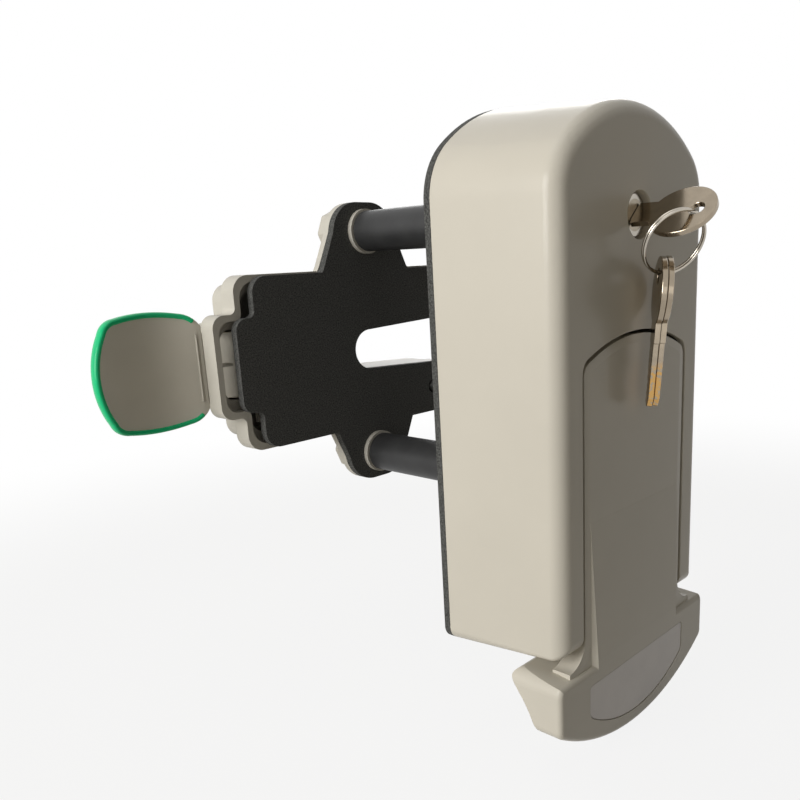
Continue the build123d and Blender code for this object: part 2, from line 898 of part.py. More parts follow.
def bolt_sleeve(z):
    """Plastic tube that lines a bolt hole from the base plate to the inner collar."""
    with BuildPart() as tube:
        with BuildSketch(front_plane(gasket_t - 0.1)):
            with Locations((0, z)):
                Circle(sleeve_r)
                Circle(sleeve_bore_r, mode=Mode.SUBTRACT)
        extrude(amount=-(gasket_t - 0.1 + door_t - collar_reach - 0.1))
        chamfer(tube.edges().filter_by(GeomType.CIRCLE).sort_by(Axis.Y)[-2:], 0.4)
    return tube.part


def make_sleeve_top():
    """Upper sleeve."""
    with BuildPart() as sleeve_top:
        add(bolt_sleeve(bolt_pitch / 2))
    sleeve_top.part.label = "sleeve_top"
    export_step(sleeve_top.part, "parts/sleeve_top.step")


def make_sleeve_bottom():
    """Lower sleeve."""
    with BuildPart() as sleeve_bottom:
        add(bolt_sleeve(-bolt_pitch / 2))
    sleeve_bottom.part.label = "sleeve_bottom"
    export_step(sleeve_bottom.part, "parts/sleeve_bottom.step")


def make_through_bolts():
    """Two long hexagon bolts put in from the room side."""
    with BuildPart() as through_bolts:
        with BuildSketch(inner_plane(shell_y + ear_t)):
            with Locations((0, bolt_pitch / 2), (0, -bolt_pitch / 2)):
                RegularPolygon(head_flats / 2, 6, major_radius=False)
        extrude(amount=-head_h)
        with BuildSketch(inner_plane(shell_y + ear_t)):
            with Locations((0, bolt_pitch / 2), (0, -bolt_pitch / 2)):
                Circle(bolt_r)
        extrude(amount=shell_y + ear_t + base_y + 12)
    through_bolts.part.label = "through_bolts"
    export_step(through_bolts.part, "parts/through_bolts.step")


def slot_cut():
    """Slot between the prongs: round at its inner end and open at the other."""
    with BuildSketch() as slot:
        with Locations((slot_x, 0)):
            Circle(slot_r)
        with BuildLine():
            Polyline(
                (slot_x, slot_r),
                (prong_end + 5, slot_mouth),
                (prong_end + 5, -slot_mouth),
                (slot_x, -slot_r),
                close=True,
            )
        make_face()
    return slot.sketch


def lowered(shape):
    """The same shape, lower by the drop of the inner body under the bolts' middle."""
    return Location((0, -body_drop, 0)) * shape


def body_outline(left, step_x, step_h, high, right, ears=True):
    """Stepped body of the inner half with two prongs and, if wanted, the two ears."""
    with BuildSketch() as body:
        with BuildLine():
            Polyline(
                (left, -step_h),
                (left, step_h),
                (step_x, step_h),
                (step_x, high),
                (right, high),
                (right, -high),
                (step_x, -high),
                (step_x, -step_h),
                close=True,
            )
        make_face()
        corners = body.vertices()
        fillet(corners.filter_by_position(Axis.X, left - 0.1, left + 0.1), 6.0)
        fillet(body.vertices().filter_by(lambda v: abs(v.X - step_x) < 0.1 and abs(abs(v.Y) - high) < 0.1), 8.0)
        fillet(body.vertices().filter_by(lambda v: abs(v.X - step_x) < 0.1 and abs(abs(v.Y) - step_h) < 0.1), 3.0)
        fillet(body.vertices().filter_by(lambda v: abs(v.X - right) < 0.1 and abs(abs(v.Y) - high) < 0.1), 6.0)
    with BuildSketch() as outline:
        add(lowered(body.sketch))
        if ears:
            for side in (-1, 1):
                with BuildLine():
                    Polyline(
                        (-ear_foot, side * (high - 5)),
                        (3 - ear_foot, side * high),
                        (-ear_half, side * bolt_pitch / 2),
                        (3 - ear_half, side * ear_top),
                        (ear_half - 3, side * ear_top),
                        (ear_half, side * bolt_pitch / 2),
                        (ear_foot - 3, side * high),
                        (ear_foot, side * (high - 5)),
                        close=True,
                    )
                make_face()
            tips = outline.vertices().filter_by(lambda v: abs(abs(v.Y) - ear_top) < 0.1)
            fillet(tips, ear_round)
        add(lowered(slot_cut()), mode=Mode.SUBTRACT)
    return outline.sketch


def make_inner_gasket():
    """Die-cut foam seal between the inner half and the door."""
    with BuildPart() as inner_gasket:
        with BuildSketch(inner_plane(door_t)):
            add(body_outline(foam_left, foam_step_x, foam_step_h, body_h, prong_end))
            with Locations((0, bolt_pitch / 2), (0, -bolt_pitch / 2)):
                Circle(collar_r + 0.1, mode=Mode.SUBTRACT)
            with Locations((rod_x, rod_z)):
                Circle(rod_r + free_gap, mode=Mode.SUBTRACT)
        extrude(amount=-foam_t)
    inner_gasket.part.label = "inner_gasket"
    export_step(inner_gasket.part, "parts/inner_gasket.step")


shell_left = -91.0
shell_step_x = -78.5
shell_step_h = 24.0
shell_h = 41.2
shell_end = 56.8


def shell_outline(inset=0.0, ears=False):
    """Outline of the moulded shell, drawn in by an inset."""
    return body_outline(
        shell_left + inset,
        shell_step_x + inset,
        shell_step_h - inset,
        shell_h - inset,
        shell_end - inset,
        ears,
    )


def slot_wall(inset):
    """Outline of the wall left standing round the slot."""
    with BuildSketch() as wall:
        with Locations((slot_x, 0)):
            Circle(slot_r + inset)
        with BuildLine():
            Polyline(
                (slot_x, slot_r + inset),
                (prong_end + 5, slot_mouth + inset),
                (prong_end + 5, -slot_mouth - inset),
                (slot_x, -slot_r - inset),
                close=True,
            )
        make_face()
    return wall.sketch


def make_inner_shell():
    """Moulded shell of the inner half: lip with ears, raised body, hollow behind the foam."""
    back = shell_y + shell_depth
    with BuildPart() as inner_shell:
        with BuildSketch(inner_plane(shell_y + lip_depth)):
            add(shell_outline(shell_inset))
        extrude(amount=-(shell_depth - lip_depth))
        chamfer(inner_shell.faces().sort_by(Axis.Y)[-1].edges(), 3.4)
        with BuildSketch(inner_plane(shell_y)):
            add(shell_outline())
        extrude(amount=-lip_depth)
        with BuildSketch(inner_plane(shell_y)):
            add(shell_outline(ears=True))
        extrude(amount=-ear_t)
        # hollow for the lever work, open to the door side
        with BuildSketch(inner_plane(shell_y)):
            add(shell_outline(shell_wall))
            add(lowered(slot_wall(shell_wall)), mode=Mode.SUBTRACT)
        extrude(amount=-(lip_depth - shell_wall), mode=Mode.SUBTRACT)
        with BuildSketch(inner_plane(shell_y)):
            add(shell_outline(shell_inset + shell_wall))
            add(lowered(slot_wall(shell_wall)), mode=Mode.SUBTRACT)
        extrude(amount=-(shell_depth - shell_wall), mode=Mode.SUBTRACT)
        # opening for the neck of the paddle
        with BuildSketch(Plane.YZ.offset(shell_left - 5)):
            with Locations((paddle_hinge_y - 1.5, -body_drop)):
                Rectangle(14, 33)
        extrude(amount=20, mode=Mode.SUBTRACT)
        # collars with pilots for the sleeves
        with BuildSketch(inner_plane(shell_y)):
            with Locations((0, bolt_pitch / 2), (0, -bolt_pitch / 2)):
                Circle(collar_r)
        extrude(amount=foam_t + collar_reach)
        with BuildSketch(inner_plane(door_t - collar_reach)):
            with Locations((0, bolt_pitch / 2), (0, -bolt_pitch / 2)):
                Circle(sleeve_bore_r - 0.1)
        extrude(amount=8)
        with BuildSketch(inner_plane(shell_y + lip_depth + 1)):
            with Locations((0, bolt_pitch / 2), (0, -bolt_pitch / 2)):
                Circle(bolt_hole_r)
        extrude(amount=40, mode=Mode.SUBTRACT)
        # guide boss of the release rod, lug of the lever pin, rib across the open end
        with BuildSketch(inner_plane(shell_y)):
            with Locations((rod_x, rod_z)):
                Rectangle(18, 17)
                Circle(rod_r + run_fit, mode=Mode.SUBTRACT)
        extrude(amount=-2.5)
        with BuildSketch(Plane.XY.offset(lever_high + 0.5)):
            with Locations((lever_hinge_x, shell_y + 16)):
                Rectangle(14, 20)
        extrude(amount=3)
        with BuildSketch(Plane.XY.offset(lever_low - 0.5)):
            with Locations((lever_hinge_x, shell_y + 16)):
                Rectangle(14, 20)
        extrude(amount=-3.2)
        with BuildSketch(inner_plane(shell_y + 4)):
            with Locations((shell_left + 6.5, 1 - body_drop)):
                Rectangle(9, 1.2)
        extrude(amount=-5)
        with Locations((lever_hinge_x, lever_y + lever_t / 2, (lever_low + lever_high) / 2)):
            Cylinder(lever_pin_r + 0.02, 18.4, mode=Mode.SUBTRACT)
        with Locations((paddle_hinge_x, paddle_hinge_y, -body_drop)):
            Cylinder(paddle_pin_r + 0.02, 2 * (shell_step_h - shell_inset - 1.2), mode=Mode.SUBTRACT)
    inner_shell.part.label = "inner_shell"
    export_step(inner_shell.part, "parts/inner_shell.step")


def make_bolt_caps():
    """Two eight-sided caps over the bolt heads."""
    with BuildPart() as bolt_caps:
        with BuildSketch(inner_plane(shell_y + ear_t)):
            with Locations((0, bolt_pitch / 2), (0, -bolt_pitch / 2)):
                RegularPolygon(cap_r, 8)
        extrude(amount=-cap_h, taper=2)
        chamfer(bolt_caps.faces().sort_by(Axis.Y)[-2:].edges(), 1.5)
        with BuildSketch(inner_plane(shell_y + ear_t)):
            with Locations((0, bolt_pitch / 2), (0, -bolt_pitch / 2)):
                Circle(head_flats / 2 / cos(radians(30)) + 0.4)
        extrude(amount=-(head_h + 0.6), mode=Mode.SUBTRACT)
    bolt_caps.part.label = "bolt_caps"
    export_step(bolt_caps.part, "parts/bolt_caps.step")


def paddle_outline(grow=0.0):
    """Paddle seen from the door: bowed left side, slightly bowed top and bottom."""
    left = paddle_left - grow
    right = paddle_right + grow
    high = paddle_half_h + grow
    top = [(left + 5.4, 19), (left + 7.6, 22.8 + 0.7 * grow), (left + 12.5, high - 1.5)]
    top += [(paddle_mid_x, high), (right - 8.5, high - 1.5), (right - 2.9, high - 3.9), (right, high - 8)]
    with BuildSketch() as outline:
        with BuildLine():
            ThreePointArc((left + 5.4, -19), (left, 0), (left + 5.4, 19))
            for i in (0, 2, 4):
                ThreePointArc(*top[i : i + 3])
                ThreePointArc(*[(x, -z) for x, z in top[i : i + 3]])
            Line(top[6], (top[6][0], -top[6][1]))
        make_face()
    return outline.sketch


def bent_band(thick):
    """Upright band bent to the dish of the paddle, hollow side to the door."""
    with BuildPart() as band:
        with BuildSketch(Plane.XY.offset(-50)):
            with Locations((paddle_mid_x, paddle_mid_y - paddle_bend_r)):
                Circle(paddle_bend_r + thick / 2)
                Circle(paddle_bend_r - thick / 2, mode=Mode.SUBTRACT)
        extrude(amount=100)
    return band.part


def dished(outline, thick):
    """Solid with the given front outline on the bent band."""
    with BuildPart() as piece:
        with BuildSketch(inner_plane(paddle_mid_y - 20)):
            add(lowered(outline))
        extrude(amount=-30)
        add(bent_band(thick), mode=Mode.INTERSECT)
    return piece.part


def make_release_paddle():
    """Moulded paddle: dished plate, neck, hinge barrel and the arm inside the shell."""
    arm_y = lever_y - slip_gap - 2.7
    with BuildPart() as release_paddle:
        add(dished(paddle_outline(), paddle_t))
        with BuildSketch(Plane.XY.offset(-15.5 - body_drop)):
            with BuildLine():
                Polyline(
                    (paddle_right - 3, paddle_hinge_y - 3.4),
                    (paddle_hinge_x, paddle_hinge_y - 3.4),
                    (paddle_hinge_x, paddle_hinge_y + 1.2),
                    (paddle_right - 3, paddle_hinge_y + 0.2),
                    close=True,
                )
            make_face()
            with Locations((paddle_hinge_x, paddle_hinge_y)):
                Circle(paddle_pin_r + 2.3)
        extrude(amount=31)
        with BuildSketch(Plane.XY.offset(-15.5 - body_drop)):
            with BuildLine():
                Polyline(
                    (paddle_hinge_x, paddle_hinge_y - 4.6),
                    (paddle_hinge_x + 8, arm_y - 2.5),
                    (paddle_hinge_x + paddle_arm + 4, arm_y - 2.5),
                    (paddle_hinge_x + paddle_arm + 4, arm_y),
                    (paddle_hinge_x + 10, arm_y),
                    (paddle_hinge_x + 4, paddle_hinge_y),
                    close=True,
                )
            make_face()
        extrude(amount=31)
        with BuildSketch(inner_plane(arm_y - 2.5)):
            with Locations((paddle_hinge_x + paddle_arm - 3, (lever_low - 10) / 2 + 2)):
                Rectangle(14, abs(lever_low + 10) + 2)
        extrude(amount=-2.5)
        with BuildSketch(Plane.XY.offset(lever_low + 2)):
            with Locations((paddle_hinge_x + paddle_arm, arm_y)):
                Circle(2.7)
        extrude(amount=10)
        with Locations((paddle_hinge_x, paddle_hinge_y, -body_drop)):
            Cylinder(paddle_pin_r + run_fit, 60, mode=Mode.SUBTRACT)
    release_paddle.part.label = "release_paddle"
    export_step(release_paddle.part, "parts/release_paddle.step")


def make_paddle_edging():
    """Luminous trim pushed over three edges of the paddle."""
    with BuildPart() as paddle_edging:
        add(dished(paddle_outline(edging_out), edging_t))
        add(dished(paddle_outline(-edging_in), edging_t + 2), mode=Mode.SUBTRACT)
        add(dished(paddle_outline(), paddle_t), mode=Mode.SUBTRACT)
        with BuildSketch(inner_plane(paddle_mid_y - 20)):
            with Locations((paddle_right + 1.5, -body_drop)):
                Rectangle(6, 80)
            with Locations((paddle_right, -body_drop)):
                Rectangle(12, 2 * (paddle_half_h - edging_in - 3.4))
        extrude(amount=-30, mode=Mode.SUBTRACT)
    paddle_edging.part.label = "paddle_edging"
    export_step(paddle_edging.part, "parts/paddle_edging.step")


def make_paddle_pin():
    """Upright pin on which the paddle turns."""
    with BuildPart() as paddle_pin:
        with Locations((paddle_hinge_x, paddle_hinge_y, -body_drop)):
            Cylinder(paddle_pin_r, 2 * (shell_step_h - shell_inset - 1.4))
    paddle_pin.part.label = "paddle_pin"
    export_step(paddle_pin.part, "parts/paddle_pin.step")


def make_release_lever():
    """Flat steel lever in the lower prong: the paddle lifts one end, the other pushes."""
    with BuildPart() as release_lever:
        with BuildSketch(Plane.XY.offset(lever_low)):
            with BuildLine():
                Polyline(
                    (paddle_hinge_x + paddle_arm - 5, lever_y),
                    (rod_x + 3, lever_y),
                    (rod_x + 3, lever_y + lever_t),
                    (paddle_hinge_x + paddle_arm - 5, lever_y + lever_t),
                    close=True,
                )
            make_face()
            with Locations((lever_hinge_x, lever_y + lever_t / 2)):
                Circle(lever_pin_r + 2.4)
                Circle(lever_pin_r + run_fit, mode=Mode.SUBTRACT)
        extrude(amount=lever_high - lever_low)
    release_lever.part.label = "release_lever"
    export_step(release_lever.part, "parts/release_lever.step")


def make_lever_pin():
    """Upright pin of the lever."""
    with BuildPart() as lever_pin:
        with Locations((lever_hinge_x, lever_y + lever_t / 2, (lever_low + lever_high) / 2)):
            Cylinder(lever_pin_r, 18.0)
    lever_pin.part.label = "lever_pin"
    export_step(lever_pin.part, "parts/lever_pin.step")


def make_release_rod():
    """Steel rod through the door that carries the push of the lever to the latch."""
    tip = rod_tip_y()
    with BuildPart() as release_rod:
        with BuildSketch(inner_plane(lever_y - slip_gap)):
            with Locations((rod_x, rod_z)):
                Circle(rod_r)
        extrude(amount=lever_y - slip_gap - tip)
        add(Location((rod_x, tip, rod_z), (90, 0, 0)) * ball(rod_r))
        chamfer(release_rod.edges().filter_by(GeomType.CIRCLE).sort_by(Axis.Y)[-1], 0.6)
    release_rod.part.label = "release_rod"
    export_step(release_rod.part, "parts/release_rod.step")


make_outer_gasket()
make_base_plate()
make_cover_screws()
make_anchor_nuts()
make_housing()
make_pull_handle()
make_grip_inlay()
make_handle_pin()
make_latch_bolt()
make_latch_guide()
make_guide_screws()
make_latch_spring()
make_lock_body()
make_lock_nut()
make_lock_plug()
make_lock_cam()
make_cam_screw()
make_inserted_key()
make_key_ring()
make_spare_key_left()
make_spare_key_right()
make_sleeve_top()
make_sleeve_bottom()
make_through_bolts()
make_inner_gasket()
make_inner_shell()
make_bolt_caps()
make_release_paddle()
make_paddle_edging()
make_paddle_pin()
make_release_lever()
make_lever_pin()
make_release_rod()
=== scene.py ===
import json
import math

import bmesh
import bpy
import numpy as np
from mathutils import Matrix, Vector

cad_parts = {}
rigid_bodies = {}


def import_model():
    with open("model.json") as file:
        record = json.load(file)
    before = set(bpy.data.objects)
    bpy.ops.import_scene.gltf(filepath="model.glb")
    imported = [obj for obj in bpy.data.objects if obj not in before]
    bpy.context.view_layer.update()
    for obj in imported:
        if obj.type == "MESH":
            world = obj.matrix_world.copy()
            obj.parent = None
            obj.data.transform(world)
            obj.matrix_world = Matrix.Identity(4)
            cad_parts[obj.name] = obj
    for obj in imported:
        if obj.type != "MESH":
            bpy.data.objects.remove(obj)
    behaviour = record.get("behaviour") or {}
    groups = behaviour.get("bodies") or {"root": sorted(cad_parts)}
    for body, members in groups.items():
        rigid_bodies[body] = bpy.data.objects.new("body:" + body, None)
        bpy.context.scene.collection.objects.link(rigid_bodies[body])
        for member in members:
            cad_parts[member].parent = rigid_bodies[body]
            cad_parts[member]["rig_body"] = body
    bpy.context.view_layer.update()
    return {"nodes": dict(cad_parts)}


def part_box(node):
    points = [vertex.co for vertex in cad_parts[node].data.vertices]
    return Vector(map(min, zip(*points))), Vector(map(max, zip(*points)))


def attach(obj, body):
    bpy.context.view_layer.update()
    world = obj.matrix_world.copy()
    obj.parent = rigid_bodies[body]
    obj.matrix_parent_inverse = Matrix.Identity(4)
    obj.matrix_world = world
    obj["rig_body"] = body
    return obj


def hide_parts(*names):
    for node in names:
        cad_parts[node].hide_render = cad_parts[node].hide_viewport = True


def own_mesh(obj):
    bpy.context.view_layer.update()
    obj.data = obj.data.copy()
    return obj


# Cold room door handle lock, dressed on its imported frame. Metres, Z up, +Y into the door.

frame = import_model()
nodes = frame["nodes"]


# Case: injection moulded arch in a warm light grey plastic, satin with a fine orange peel.
# Four screws from the base plate hold it. It carries the lock, the latch and the pull handle.


def surface(
    name,
    colour,
    rough,
    metal=0.0,
    mottle=0.02,
    mottle_scale=30.0,
    peel=0.0,
    peel_scale=900.0,
    gloss=0.5,
):
    """Principled material on object coordinates: noise drifts the colour by the share mottle,
    and finer noise lifts the skin by the height peel."""
    material = bpy.data.materials.new(name)
    material.use_nodes = True
    tree = material.node_tree
    shader = tree.nodes["Principled BSDF"]
    shader.inputs["Roughness"].default_value = rough
    shader.inputs["Metallic"].default_value = metal
    shader.inputs["Specular IOR Level"].default_value = gloss
    place = tree.nodes.new("ShaderNodeTexCoord")
    drift = tree.nodes.new("ShaderNodeTexNoise")
    drift.inputs["Scale"].default_value = mottle_scale
    drift.inputs["Detail"].default_value = 4.0
    tree.links.new(place.outputs["Object"], drift.inputs["Vector"])
    ramp = tree.nodes.new("ShaderNodeValToRGB")
    ramp.name = "colours"
    ramp.color_ramp.elements[0].position = 0.3
    ramp.color_ramp.elements[1].position = 0.7
    ramp.color_ramp.elements[0].color = [c * (1 - mottle) for c in colour] + [1.0]
    ramp.color_ramp.elements[1].color = [min(1.0, c * (1 + mottle)) for c in colour] + [1.0]
    tree.links.new(drift.outputs["Fac"], ramp.inputs["Fac"])
    tree.links.new(ramp.outputs["Color"], shader.inputs["Base Color"])
    if peel > 0:
        grain = tree.nodes.new("ShaderNodeTexNoise")
        grain.inputs["Scale"].default_value = peel_scale
        grain.inputs["Detail"].default_value = 3.0
        tree.links.new(place.outputs["Object"], grain.inputs["Vector"])
        bump = tree.nodes.new("ShaderNodeBump")
        bump.inputs["Strength"].default_value = 0.5
        bump.inputs["Distance"].default_value = peel
        tree.links.new(grain.outputs["Fac"], bump.inputs["Height"])
        tree.links.new(bump.outputs["Normal"], shader.inputs["Normal"])
    return material


def lacquer(material, weight, rough=0.1):
    """Clear glossy skin on a moulding that left a polished mould."""
    shader = material.node_tree.nodes["Principled BSDF"]
    shader.inputs["Coat Weight"].default_value = weight
    shader.inputs["Coat Roughness"].default_value = rough


def dress(name, material):
    """Gives a frame node its only material."""
    mesh = nodes[name].data
    mesh.materials.clear()
    mesh.materials.append(material)


def finish(name, material, radius, steps=2):
    """A node's skin, welded along its edges, with each sharp edge rounded to a radius."""
    weld_digits, sharp = 7, math.radians(30)
    source = nodes[name].data
    points = np.empty(len(source.vertices) * 3)
    source.vertices.foreach_get("co", points)
    points = points.reshape(-1, 3)
    corners = np.empty(len(source.loops), dtype=int)
    source.loops.foreach_get("vertex_index", corners)
    places, index = np.unique(np.round(points, weld_digits), axis=0, return_inverse=True)
    faces = index.reshape(-1)[corners].reshape(-1, 3)
    first, second, third = faces.T
    whole = (first != second) & (second != third) & (third != first)
    skin = bpy.data.meshes.new(name + "_skin")
    skin.from_pydata(places.tolist(), [], faces[whole].tolist())
    skin.shade_smooth()
    skin.set_sharp_from_angle(angle=sharp)
    skin.materials.append(material)
    piece = bpy.data.objects.new(name + "_skin", skin)
    bpy.context.scene.collection.objects.link(piece)
    edge = piece.modifiers.new("edge", "BEVEL")
    edge.width = radius
    edge.segments = steps
    edge.limit_method = "ANGLE"
    edge.angle_limit = sharp
    edge.use_clamp_overlap = False
    evened = piece.modifiers.new("evened", "WEIGHTED_NORMAL")
    evened.keep_sharp = True
    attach(piece, nodes[name]["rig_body"])
    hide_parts(name)


case_plastic = surface(
    "case_plastic",
    (0.60, 0.56, 0.475),
    rough=0.34,
    mottle=0.015,
    peel=0.00003,
    peel_scale=1500,
    gloss=0.16,
)
lacquer(case_plastic, weight=0.1)
finish("housing", case_plastic, radius=0.0003)

# Outer seal: die-cut black foam, matt, with small cells that catch the light as grey specks.
# It is pressed between the base plate and the door.
foam = surface(
    "foam",
    (0.073, 0.073, 0.068),
    rough=0.9,
    mottle=0.75,
    mottle_scale=1500,
    peel=0.0005,
    peel_scale=1300,
    gloss=0.3,
)
dress("outer_gasket", foam)

# Steel work of both halves: pressed sheet and turned parts, all in bright zinc. The plate
# closes the case from behind with four screws; bolts, rod and pins join the inner half to it.
zinc = surface(
    "zinc",
    (0.50, 0.50, 0.48),
    rough=0.34,
    metal=1.0,
    mottle=0.12,
    mottle_scale=160,
    peel=0.00003,
)
for name in (
    "base_plate",
    "guide_screws",
    "anchor_nuts",
    "cover_screws",
    "lock_nut",
    "lock_cam",
    "cam_screw",
    "handle_pin",
    "through_bolts",
    "paddle_pin",
    "lever_pin",
    "release_lever",
    "release_rod",
):
    dress(name, zinc)

# Latch: cast zinc nose that springs out of the side of the case through a screwed guide.
# The nose is tumbled smooth; the guide is zinc plated as the base is.
latch_metal = surface(
    "latch_metal",
    (0.50, 0.485, 0.45),
    rough=0.3,
    metal=1.0,
    mottle=0.05,
    mottle_scale=200,
    peel=0.00002,
)
dress("latch_bolt", latch_metal)
dress("latch_guide", zinc)


def carried(name, path, first, second, half_first, half_second, material, power=1.0, sides=16):
    """Section carried along a path: cosine times one direction plus sine times the other, each
    raised to a power and times its half size. The two ends are drawn in and closed."""
    end_share, sharp = 0.6, math.radians(60)
    turn = np.linspace(0.0, 2 * math.pi, sides, endpoint=False)
    inward = np.ones(len(path))
    inward[[0, -1]] = end_share
    waves = (np.cos(turn), np.sin(turn))
    cosine, sine = (np.sign(wave) * np.abs(wave) ** power for wave in waves)
    spread = half_first * cosine[:, None] * first[:, None]
    spread = spread + half_second * sine[:, None] * second[:, None]
    points = path[:, None] + inward[:, None, None] * spread
    here = np.arange(len(path) - 1)[:, None] * sides
    this, following = here + np.arange(sides), here + (np.arange(sides) + 1) % sides
    walls = np.stack([this, following, following + sides, this + sides], axis=-1).reshape(-1, 4)
    last = (len(path) - 1) * sides
    mesh = bpy.data.meshes.new(name + "_run")
    mesh.from_pydata(
        points.reshape(-1, 3).tolist(),
        [],
        walls.tolist() + [list(range(sides)), list(range(last, last + sides))],
    )
    work = bmesh.new()
    work.from_mesh(mesh)
    bmesh.ops.recalc_face_normals(work, faces=work.faces)
    work.to_mesh(mesh)
    work.free()
    mesh.shade_smooth()
    mesh.set_sharp_from_angle(angle=sharp)
    mesh.materials.append(material)
    piece = bpy.data.objects.new(name + "_run", mesh)
    bpy.context.scene.collection.objects.link(piece)
    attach(piece, nodes[name]["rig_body"])
    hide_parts(name)
    return piece


# Latch spring: round spring wire wound in five turns on the tail of the latch.
# Its left end stands on the guide, and it shortens as the latch slides in.
spring_steel = surface(
    "spring_steel",
    (0.42, 0.42, 0.41),
    rough=0.28,
    metal=1.0,
    mottle=0.08,
    mottle_scale=400,
)
spring_turns, steps_per_turn = 5, 24
spring_wire = 0.00045
low, high = (np.array(corner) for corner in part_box("latch_spring"))
middle = (low + high) / 2
# Helix: cosine and sine of the turn times the mean radius, X rising evenly with the turn.
turn = np.linspace(0.0, 2 * math.pi * spring_turns, steps_per_turn * spring_turns + 1)
out = np.stack([np.zeros(len(turn)), np.cos(turn), np.sin(turn)], axis=1)
path = ((high[1] - low[1]) / 2 - spring_wire) * out + middle
path[:, 0] = low[0] + spring_wire + (high[0] - low[0] - 2 * spring_wire) * turn / turn[-1]
axial = np.broadcast_to([1.0, 0.0, 0.0], out.shape)
spring = carried(
    "latch_spring", path, out, axial, spring_wire, spring_wire, spring_steel, sides=10
)
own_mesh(spring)

# Pull handle: one moulding, face plate and crescent grip, in the colour of the case.
# It swings on a pin behind the plate; a pale panel fills the recess of the grip.
handle_plastic = surface(
    "handle_plastic",
    (0.60, 0.56, 0.475),
    rough=0.32,
    mottle=0.015,
    peel=0.00002,
    peel_scale=1500,
    gloss=0.16,
)
lacquer(handle_plastic, weight=0.1)
dress("pull_handle", handle_plastic)
inlay = surface(
    "inlay",
    (0.66, 0.62, 0.585),
    rough=0.34,
    mottle=0.03,
    mottle_scale=90,
    peel=0.00002,
    gloss=0.4,
)
finish("grip_inlay", inlay, radius=0.0002)

# Lock: turned and nickel plated barrel in a recess of the case, held by a nut from behind.
# The plug with its keyway turns in the barrel, and carries the cam on its far end.
barrel = surface(
    "barrel_metal",
    (0.40, 0.37, 0.32),
    rough=0.16,
    metal=1.0,
    mottle=0.04,
    mottle_scale=300,
)
dress("lock_body", barrel)
plug = surface(
    "plug_metal",
    (0.30, 0.26, 0.20),
    rough=0.26,
    metal=1.0,
    mottle=0.10,
    mottle_scale=300,
    peel=0.00001,
)
dress("lock_plug", plug)


# Keys: pressed brass blanks, nickel plated, then cut, so that brass shows where the bits are.
# One stands in the lock; two hang from the split ring, which is two coils of steel wire.


def key_metal(name, brass_below, nickel_above):
    """Nickel with fine scratches along Z. Below one height it is worn to brass in patches, and
    the wear fades out at the other."""
    scratches_across, scratches_along = 2600.0, 120.0
    polished, scratched = 0.06, 0.24
    material = surface(
        name,
        (0.34, 0.285, 0.215),
        rough=0.2,
        metal=1.0,
        mottle=0.08,
        mottle_scale=260,
        peel=0.00001,
    )
    tree = material.node_tree
    shader = tree.nodes["Principled BSDF"]
    place = tree.nodes.new("ShaderNodeTexCoord")
    stretch = tree.nodes.new("ShaderNodeMapping")
    stretch.inputs["Scale"].default_value = (
        scratches_across,
        scratches_across,
        scratches_along,
    )
    scratch = tree.nodes.new("ShaderNodeTexNoise")
    scratch.inputs["Scale"].default_value = 1.0
    scratch.inputs["Detail"].default_value = 2.0
    worn = tree.nodes.new("ShaderNodeMapRange")
    worn.inputs["To Min"].default_value = polished
    worn.inputs["To Max"].default_value = scratched
    tree.links.new(place.outputs["Object"], stretch.inputs["Vector"])
    tree.links.new(stretch.outputs["Vector"], scratch.inputs["Vector"])
    tree.links.new(scratch.outputs["Fac"], worn.inputs["Value"])
    tree.links.new(worn.outputs["Result"], shader.inputs["Roughness"])
    height = tree.nodes.new("ShaderNodeSeparateXYZ")
    band = tree.nodes.new("ShaderNodeMapRange")
    band.interpolation_type = "SMOOTHSTEP"
    band.inputs["From Min"].default_value = nickel_above
    band.inputs["From Max"].default_value = brass_below
    brass = tree.nodes.new("ShaderNodeMix")
    brass.data_type = "RGBA"
    brass.inputs["B"].default_value = (0.50, 0.30, 0.105, 1)
    tree.links.new(place.outputs["Object"], height.inputs["Vector"])
    tree.links.new(height.outputs["Z"], band.inputs["Value"])
    patch = tree.nodes.new("ShaderNodeTexNoise")
    patch.inputs["Scale"].default_value = 700.0
    bare = tree.nodes.new("ShaderNodeMapRange")
    bare.inputs["From Min"].default_value = 0.42
    bare.inputs["From Max"].default_value = 0.50
    both = tree.nodes.new("ShaderNodeMath")
    both.operation = "MULTIPLY"
    tree.links.new(place.outputs["Object"], patch.inputs["Vector"])
    tree.links.new(patch.outputs["Fac"], bare.inputs["Value"])
    tree.links.new(bare.outputs["Result"], both.inputs[0])
    tree.links.new(band.outputs["Result"], both.inputs[1])
    tree.links.new(both.outputs["Value"], brass.inputs["Factor"])
    tree.links.new(tree.nodes["colours"].outputs["Color"], brass.inputs["A"])
    tree.links.new(brass.outputs["Result"], shader.inputs["Base Color"])
    return material


# The worn bits of the first key are inside the lock, so its brass lies below the whole lock.
finish("inserted_key", key_metal("key_nickel", brass_below=-1.0, nickel_above=-0.9), radius=0.0003)
brass_reach, wear_reach = 0.013, 0.019
for name in ("spare_key_left", "spare_key_right"):
    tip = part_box(name)[0][2]
    finish(name, key_metal(name + "_metal", tip + brass_reach, tip + wear_reach), radius=0.0003)


